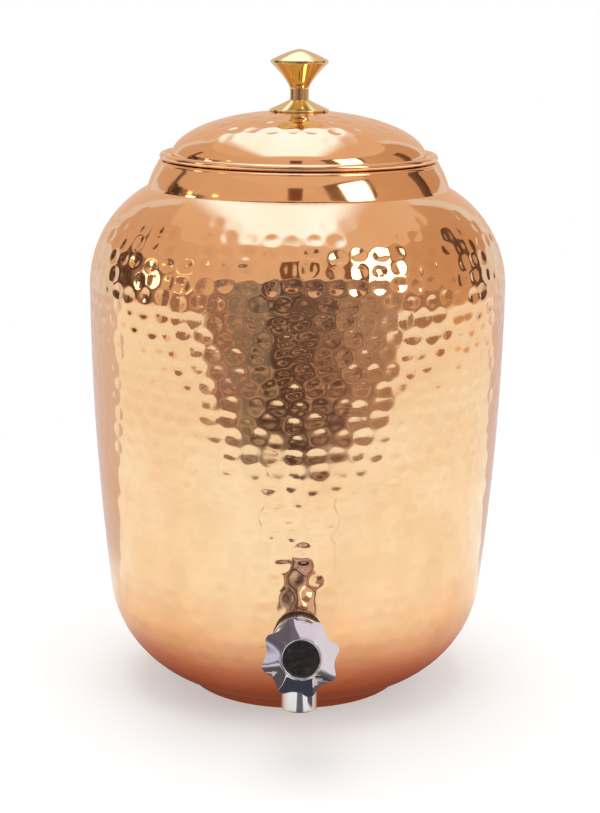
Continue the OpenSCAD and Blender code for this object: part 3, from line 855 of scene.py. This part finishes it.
def floorMaterial():
    material, tree, shader = startMaterial("pale floor", Roughness=0.9, Specular_IOR_Level=0.0)
    shader.inputs["Base Color"].default_value = stage["floorColor"]
    away = addNode(tree, "ShaderNodeVectorMath", {"operation": "LENGTH"})
    tree.links.new(objectCoords(tree), away.inputs[0])
    fade = spread(tree, away.outputs["Value"], stage["fadeLeast"], 1, stage["fadeFrom"], stage["fadeTo"])
    white = addNode(tree, "ShaderNodeEmission")
    mix = addNode(tree, "ShaderNodeMixShader")
    tree.links.new(fade, mix.inputs["Fac"])
    tree.links.new(shader.outputs["BSDF"], mix.inputs[1])
    tree.links.new(white.outputs["Emission"], mix.inputs[2])
    tree.links.new(mix.outputs["Shader"], tree.nodes["Material Output"].inputs["Surface"])
    return material


def flatDisc(name, radius, height):
    deselectAll()
    bpy.ops.mesh.primitive_circle_add(vertices=stage["roundSteps"], radius=radius, fill_type="NGON",
                                      location=(0, 0, height))
    piece = bpy.context.object
    piece.name = name
    return piece


def makeFloor():
    floor = flatDisc("floor", stage["floorReach"], -0.05 * mm)
    floor.data.materials.append(floorMaterial())


def rampOn(tree, value, stops):
    ramp = addNode(tree, "ShaderNodeValToRGB")
    tree.links.new(value, ramp.inputs["Fac"])
    points = ramp.color_ramp.elements
    for stop in stops[2:]:
        points.new(stop[0])
    for point, (place, color) in zip(points, sorted(stops)):
        point.position = place
        point.color = (*color, 1)
    return ramp.outputs["Color"]


def softEdge(tree, value, soft):  # 0 at both ends of a side, 1 inside
    middle = addNode(tree, "ShaderNodeMath", {"operation": "PINGPONG"})
    middle.inputs[1].default_value = 0.5
    tree.links.new(value, middle.inputs[0])
    smooth = {"interpolation_type": "SMOOTHSTEP"}
    fade = addNode(tree, "ShaderNodeMapRange", smooth, From_Max=max(soft, 1e-4))
    tree.links.new(middle.outputs[0], fade.inputs["Value"])
    return fade.outputs["Result"]


def sway(tree, value, coords, scale, amount):  # shifts a side's measure by slow noise
    shift = spread(tree, noiseOn(tree, coords, scale, 2), -amount, amount)
    moved = addNode(tree, "ShaderNodeMath", {"operation": "ADD", "use_clamp": True})
    tree.links.new(value, moved.inputs[0])
    tree.links.new(shift, moved.inputs[1])
    return moved.outputs[0]


def times(tree, first, second):
    product = addNode(tree, "ShaderNodeMath", {"operation": "MULTIPLY"})
    tree.links.new(first, product.inputs[0])
    tree.links.new(second, product.inputs[1])
    return product.outputs[0]


def glowMaterial(card):  # colors run across the card, broken up by patches, and its edges fade
    material = bpy.data.materials.new(card["name"])
    material.use_nodes = True
    tree = material.node_tree
    tree.nodes.remove(tree.nodes["Principled BSDF"])
    coords = addNode(tree, "ShaderNodeTexCoord")
    sides = addNode(tree, "ShaderNodeSeparateXYZ")
    tree.links.new(coords.outputs["UV"], sides.inputs[0])
    along = sides.outputs[1] if card.get("upward") else sides.outputs[0]
    if card.get("patches"):
        along = sway(tree, along, coords.outputs["Object"], card["patches"], 0.12)
    color = rampOn(tree, along, card["tones"])
    if card.get("specks"):
        scale, tone = card["specks"]
        peaks = spread(tree, noiseOn(tree, coords.outputs["Object"], scale, 2), 0, 0.8, 0.5, 0.68)
        color = blendColors(tree, peaks, color, (*tone, 1))
    if card.get("foot"):  # the card's lower end runs out to another tone
        tone, reach = card["foot"]
        color = blendColors(tree, spread(tree, sides.outputs[1], 0, 1, 0, reach), (*tone, 1), color)
    glow = addNode(tree, "ShaderNodeEmission", Strength=card.get("strength", 1.0))
    tree.links.new(color, glow.inputs["Color"])
    softX, softY = card.get("soft", (0, 0))
    across, upward = sides.outputs[0], sides.outputs[1]
    if card.get("ragged"):
        scale, amountX, amountY = card["ragged"]
        across = sway(tree, across, coords.outputs["Object"], scale, amountX)
        upward = sway(tree, upward, coords.outputs["Object"], scale, amountY)
    shown = times(tree, softEdge(tree, across, softX), softEdge(tree, upward, softY))
    if card.get("near"):  # seen from its front only, and from close by
        path = addNode(tree, "ShaderNodeLightPath")
        close = addNode(tree, "ShaderNodeMath", {"operation": "LESS_THAN"})
        close.inputs[1].default_value = card["near"]
        tree.links.new(path.outputs["Ray Length"], close.inputs[0])
        behind = addNode(tree, "ShaderNodeNewGeometry").outputs["Backfacing"]
        shown = times(tree, shown, times(tree, close.outputs[0], spread(tree, behind, 1, 0, 0, 1)))
    mix = addNode(tree, "ShaderNodeMixShader")
    tree.links.new(shown, mix.inputs["Fac"])
    tree.links.new(addNode(tree, "ShaderNodeBsdfTransparent").outputs["BSDF"], mix.inputs[1])
    tree.links.new(glow.outputs["Emission"], mix.inputs[2])
    tree.links.new(mix.outputs["Shader"], tree.nodes["Material Output"].inputs["Surface"])
    return material


def bothEnds(color):
    return ((0.0, color), (1.0, color))


roomTone = (0.80, 0.61, 0.49)
paleTone = (0.80, 0.79, 0.82)
darkTone = (0.09, 0.05, 0.04)
leftTone = (0.70, 0.50, 0.39)
rightTone = (0.62, 0.40, 0.27)
floorTone = (0.74, 0.66, 0.68)
leftFoot = ((1.0, 0.9, 0.8), 0.16)
rightFoot = ((0.98, 0.82, 0.68), 0.08)
# tones of the painted shade and painted highlights on the cards round the tap
tapShadeTone = (0.05, 0.055, 0.07)
tapGleamTone = (0.84, 0.72, 0.77)

# Bent walls: a line in radius and height, turned between two azimuths from the front to the right
walls = (
    {"name": "room_left", "line": ((1.35, 0.02), (1.35, 1.6)), "from": -113, "to": 0, "patches": 3,
     "foot": leftFoot, "tones": ((0.0, leftTone), (1.0, roomTone))},
    {"name": "room_right", "line": ((1.35, 0.02), (1.35, 1.6)), "from": 0, "to": 113, "patches": 3,
     "foot": rightFoot, "tones": ((0.0, roomTone), (0.6, (0.64, 0.43, 0.30)), (1.0, rightTone))},
    {"name": "pale_left", "line": ((1.5, 0.0), (1.5, 1.6)), "from": -155, "to": -110,
     "tones": bothEnds(paleTone)},
    {"name": "pale_right", "line": ((1.5, 0.0), (1.5, 1.6)), "from": 110, "to": 155,
     "tones": bothEnds(paleTone)},
    {"name": "high_left", "line": ((1.36, 0.45), (1.36, 1.6)), "from": -142, "to": -112,
     "tones": bothEnds(leftTone)},
    {"name": "high_right", "line": ((1.36, 0.45), (1.36, 1.6)), "from": 112, "to": 142,
     "tones": bothEnds(rightTone)},
    {"name": "room_back", "line": ((1.45, 0.05), (1.45, 1.6)), "from": 150, "to": 210,
     "tones": bothEnds(roomTone)},
    {"name": "dark_left", "line": ((1.25, 0.2), (1.25, 1.1)), "from": -115.5, "to": -110.5, "patches": 4,
     "tones": ((0.0, darkTone), (1.0, (0.22, 0.14, 0.11)))},
    {"name": "dark_left_low", "line": ((1.22, 0.12), (1.22, 0.7)), "from": -120, "to": -72, "patches": 4,
     "soft": (0.1, 0.08), "ragged": (6, 0.08, 0.1), "specks": (5, (0.4, 0.28, 0.22)),
     "tones": ((0.0, (0.06, 0.035, 0.03)), (0.6, (0.12, 0.075, 0.06)), (1.0, (0.3, 0.2, 0.16)))},
    {"name": "front_dark_left", "line": ((0.75, 0.09), (0.75, 0.36)), "from": -66, "to": -48,
     "soft": (0.15, 0.08), "ragged": (12, 0.1, 0.12), "specks": (16, (0.6, 0.45, 0.36)),
     "tones": bothEnds((0.38, 0.25, 0.21))},
    {"name": "front_dark_right", "line": ((0.75, 0.09), (0.75, 0.36)), "from": 52, "to": 82,
     "soft": (0.15, 0.08), "ragged": (12, 0.1, 0.12), "specks": (16, (0.6, 0.42, 0.3)),
     "tones": ((0.0, (0.36, 0.24, 0.2)), (1.0, (0.42, 0.26, 0.18)))},
    {"name": "dark_right", "line": ((1.25, 0.15), (1.25, 1.1)), "from": 105.5, "to": 117.5, "patches": 4,
     "tones": ((0.0, (0.2, 0.12, 0.09)), (1.0, darkTone))},
    {"name": "floor_left", "line": ((0.16, 0.3 * mm), (2.4, 0.3 * mm)), "from": -182, "to": -112,
     "soft": (0.03, 0.06), "tones": bothEnds(floorTone)},
    {"name": "floor_right", "line": ((0.16, 0.3 * mm), (2.4, 0.3 * mm)), "from": 128, "to": 182,
     "soft": (0.03, 0.06), "tones": bothEnds(floorTone)},
)

# Flat cards: place of the middle, what it faces, width and height; tones run along the width or upward
sheets = (
    {"name": "ceiling", "place": (0, 0, 1.6), "facing": (0, 0.001, 0), "size": (3.4, 3.4),
     "tones": bothEnds(roomTone)},
    {"name": "front_dark", "place": (0.02, -0.47, 0.2115), "facing": (0.02, 0, 0.2115),
     "size": (1.2, 0.417), "soft": (0.1, 0.03), "ragged": (14, 0.05, 0.07), "patches": 9,
     "specks": (20, (0.7, 0.52, 0.44)),
     "tones": ((0.0, (0.46, 0.33, 0.28)), (0.33, (0.34, 0.235, 0.21)), (0.42, (0.13, 0.09, 0.09)),
               (0.58, (0.085, 0.058, 0.065)), (0.64, (0.19, 0.18, 0.185)), (0.76, (0.3, 0.26, 0.25)),
               (0.83, (0.3, 0.18, 0.165)), (1.0, (0.4, 0.25, 0.21)))},
    {"name": "overhead_glow", "place": (-0.12, 0.35, 1.45), "facing": (-0.12, 0.351, 0), "size": (1.2, 2.2),
     "soft": (0.25, 0.12), "strength": 2.2, "tones": bothEnds((0.54, 0.72, 1.0))},
    {"name": "window_frame", "place": (0.87, -0.92, 0.88), "facing": (0, 0, 0.25), "size": (0.92, 1.06),
     "soft": (0.04, 0.04), "tones": bothEnds((0.24, 0.13, 0.09))},
    {"name": "window_right", "place": (0.91, -0.84, 0.875), "facing": (0, 0, 0.25), "size": (0.52, 0.9),
     "soft": (0.06, 0.05), "strength": 3.6, "tones": bothEnds((1, 0.98, 0.95))},
    {"name": "window_left", "place": (-1.19, -0.05, 0.47), "facing": (0, 0, 0.25), "size": (0.2, 0.2),
     "soft": (0.1, 0.1), "strength": 3.0, "tones": bothEnds((1, 0.97, 0.92))},
    {"name": "window_low", "place": (-1.06, -0.56, 0.42), "facing": (0, 0, 0.25), "size": (0.16, 0.1),
     "soft": (0.1, 0.1), "strength": 2.4, "tones": bothEnds((1, 0.94, 0.86))},
    {"name": "lamp_one", "place": (-1.04, -0.44, 0.72), "facing": (0, 0, 0.28), "size": (0.1, 0.08),
     "soft": (0.2, 0.2), "strength": 2.6, "tones": bothEnds((1, 0.85, 0.45))},
    {"name": "lamp_two", "place": (-1.13, 0.02, 0.63), "facing": (0, 0, 0.28), "size": (0.1, 0.08),
     "soft": (0.2, 0.2), "strength": 2.6, "tones": bothEnds((1, 0.85, 0.45))},
    {"name": "dark_square", "place": (-0.06, -0.95, 0.87), "facing": (0, 0, 0.28), "size": (0.2, 0.36),
     "soft": (0.05, 0.05), "tones": bothEnds((0.2, 0.09, 0.06))},
    # painted shade of the tap: a dark strip on the floor in front of it, seen in the spout and the pot's
    # lower wall
    {"name": "front_strip", "place": (0.004, -0.225, 0.6 * mm), "facing": (0.004, -0.224, 1),
     "size": (0.07, 0.06), "soft": (0.15, 0.15), "tones": bothEnds((0.16, 0.14, 0.15))},
    # painted reflections on the tap, seen from close by only: the dark cards stand in for its shade under and
    # beside it, the pale bands are painted highlights on the knob
    {"name": "under_tap", "place": (-0.004, -0.172, 5 * mm), "facing": (-0.004, -0.171, 1),
     "size": (0.14, 0.066), "soft": (0.05, 0.05), "near": 0.064, "tones": bothEnds(tapShadeTone)},
    {"name": "below_tap", "place": (0, -0.139, 0.0235), "facing": (0, -1, 0.0235),
     "size": (0.08, 0.043), "soft": (0.03, 0.03), "near": 0.06,
     "tones": ((0.0, (0.13, 0.1, 0.1)), (0.3, (0.1, 0.085, 0.09)), (0.45, tapShadeTone),
               (1.0, (0.17, 0.15, 0.15)))},
    {"name": "behind_tap", "place": (0, -0.122, 0.09), "facing": (0, -1, 0.09),
     "size": (0.1, 0.05), "soft": (0.03, 0.03), "near": 0.06,
     "tones": ((0.0, (0.14, 0.11, 0.12)), (0.46, (0.18, 0.14, 0.16)), (0.52, tapGleamTone),
               (1.0, (0.88, 0.77, 0.8)))},
    {"name": "left_of_tap", "place": (-0.03, -0.161, 0.0725), "facing": (0, -0.161, 0.0725),
     "size": (0.052, 0.083), "soft": (0.03, 0.03), "near": 0.036, "upward": True,
     "tones": ((0.0, (0.1, 0.09, 0.1)), (0.27, (0.13, 0.1, 0.1)), (0.3, (0.8, 0.76, 0.83)),
               (0.35, (0.12, 0.1, 0.13)), (0.41, (0.7, 0.65, 0.74)), (0.48, (0.3, 0.26, 0.32)),
               (0.57, (0.13, 0.1, 0.13)), (1.0, (0.17, 0.13, 0.16)))},
    {"name": "right_of_tap", "place": (0.03, -0.1595, 0.069), "facing": (0, -0.1595, 0.069),
     "size": (0.055, 0.098), "soft": (0.03, 0.03), "near": 0.036, "upward": True,
     "tones": ((0.0, (0.12, 0.1, 0.11)), (0.25, (0.15, 0.13, 0.13)), (0.31, (0.88, 0.78, 0.78)),
               (1.0, (0.9, 0.79, 0.82)))},
    {"name": "above_tap", "place": (0, -0.143, 0.1), "facing": (0, -0.1431, 0),
     "size": (0.07, 0.066), "soft": (0.03, 0.03), "near": 0.06,
     "tones": ((0.0, (0.14, 0.11, 0.12)), (0.45, (0.2, 0.16, 0.18)), (0.5, tapGleamTone),
               (1.0, (0.86, 0.74, 0.79)))},
)

# Floor as the metal sees it: tones by distance from the pot's axis, dark near the pot as a painted shadow
# under it, pale further out
ground = {
    "name": "near_ground", "reach": 1.2, "strength": (1.11, 1.27), "patches": 14,
    "tones": ((0.0, (0.14, 0.044, 0.03)), (0.07, (0.19, 0.061, 0.044)), (0.081, (0.28, 0.098, 0.065)),
              (0.096, (0.4, 0.18, 0.145)), (0.1255, (0.62, 0.46, 0.4)), (0.162, (0.76, 0.65, 0.58)),
              (0.194, (0.82, 0.77, 0.72)), (0.243, (0.86, 0.92, 0.95)), (0.4, (0.87, 0.95, 1.0)),
              (0.8, (0.81, 0.835, 0.835))),
}


def hideCard(piece):  # only the metal sees a card
    piece.visible_camera = False
    piece.visible_diffuse = False
    piece.visible_shadow = False


def makeWall(card):
    (r0, z0), (r1, z1) = card["line"]
    sweep = math.radians(card["to"] - card["from"])
    piece = turnOutline(card["name"], card["line"], 32, sweep)
    piece.data.uv_layers.remove(piece.data.uv_layers[0])
    layer = piece.data.uv_layers.new(name="across")
    for loop in piece.data.loops:
        x, y, z = piece.data.vertices[loop.vertex_index].co
        along = (math.hypot(x, y) - r0) * (r1 - r0) + (z - z0) * (z1 - z0)
        share = along / ((r1 - r0) ** 2 + (z1 - z0) ** 2)
        layer.data[loop.index].uv = ((math.atan2(y, x) + 1e-6) % math.tau / sweep, share)
    piece.rotation_euler.z = math.radians(card["from"] - 90)
    piece.data.materials.append(glowMaterial(card))
    hideCard(piece)


def makeSheet(card):
    deselectAll()
    bpy.ops.mesh.primitive_plane_add(size=1, location=card["place"])
    piece = bpy.context.object
    piece.name = card["name"]
    aim = Vector(card["facing"]) - Vector(card["place"])
    piece.rotation_euler = aim.to_track_quat("Z", "Y").to_euler()
    piece.scale = (*card["size"], 1)
    piece.data.materials.append(glowMaterial(card))
    hideCard(piece)


def makeGround():
    piece = flatDisc(ground["name"], ground["reach"], 0.1 * mm)
    material = bpy.data.materials.new(ground["name"])
    material.use_nodes = True
    tree = material.node_tree
    tree.nodes.remove(tree.nodes["Principled BSDF"])
    away = addNode(tree, "ShaderNodeVectorMath", {"operation": "LENGTH"})
    tree.links.new(objectCoords(tree), away.inputs[0])
    share = spread(tree, away.outputs["Value"], 0, 1, 0, ground["reach"])
    glow = addNode(tree, "ShaderNodeEmission")
    patches = noiseOn(tree, objectCoords(tree), ground["patches"], 2)
    tree.links.new(spread(tree, patches, *ground["strength"]), glow.inputs["Strength"])
    stops = [(distance / ground["reach"], tone) for distance, tone in ground["tones"]]
    tree.links.new(rampOn(tree, share, stops), glow.inputs["Color"])
    tree.links.new(glow.outputs["Emission"], tree.nodes["Material Output"].inputs["Surface"])
    piece.data.materials.append(material)
    hideCard(piece)


lamps = (
    {"name": "overhead", "place": (-0.12, 0.1, 1.45), "aim": (-0.12, 0.1, 0), "size": (1.0, 1.8),
     "watts": 16},
    {"name": "window", "place": (0.91, -0.84, 0.735), "aim": (0, 0, 0.2), "size": (0.5, 0.6),
     "watts": 4},
)


def makeLamp(box):
    deselectAll()
    bpy.ops.object.light_add(type="AREA", location=box["place"])
    lamp = bpy.context.object
    lamp.name = box["name"]
    lamp.data.shape = "RECTANGLE"
    lamp.data.size, lamp.data.size_y = box["size"]
    lamp.data.energy = box["watts"]
    aim = Vector(box["aim"]) - Vector(box["place"])
    lamp.rotation_euler = aim.to_track_quat("-Z", "Y").to_euler()
    lamp.visible_glossy = False  # the metal sees the glow cards instead


makeWorld()
makeFloor()
makeGround()
for card in walls:
    makeWall(card)
for card in sheets:
    makeSheet(card)
for box in lamps:
    makeLamp(box)
print("stage set")


# Camera: a little above the pot, looking down at it

camera = {
    "place": (-0.020, -0.973, 0.373),
    "down": 12.8,
    "right": 1.29,
    "roll": 0.55,
    "lens": 80.94,
}


def makeCamera():
    deselectAll()
    bpy.ops.object.camera_add(location=camera["place"])
    eye = bpy.context.object
    eye.data.lens = camera["lens"]
    eye.data.sensor_width = 36
    pitch = Matrix.Rotation(math.radians(90 - camera["down"]), 3, "X")
    yaw = Matrix.Rotation(math.radians(-camera["right"]), 3, "Z")
    roll = Matrix.Rotation(math.radians(camera["roll"]), 3, "Z")
    eye.rotation_euler = (yaw @ pitch @ roll).to_euler()
    bpy.context.scene.camera = eye


makeCamera()
bpy.context.scene.view_settings.view_transform = "Standard"
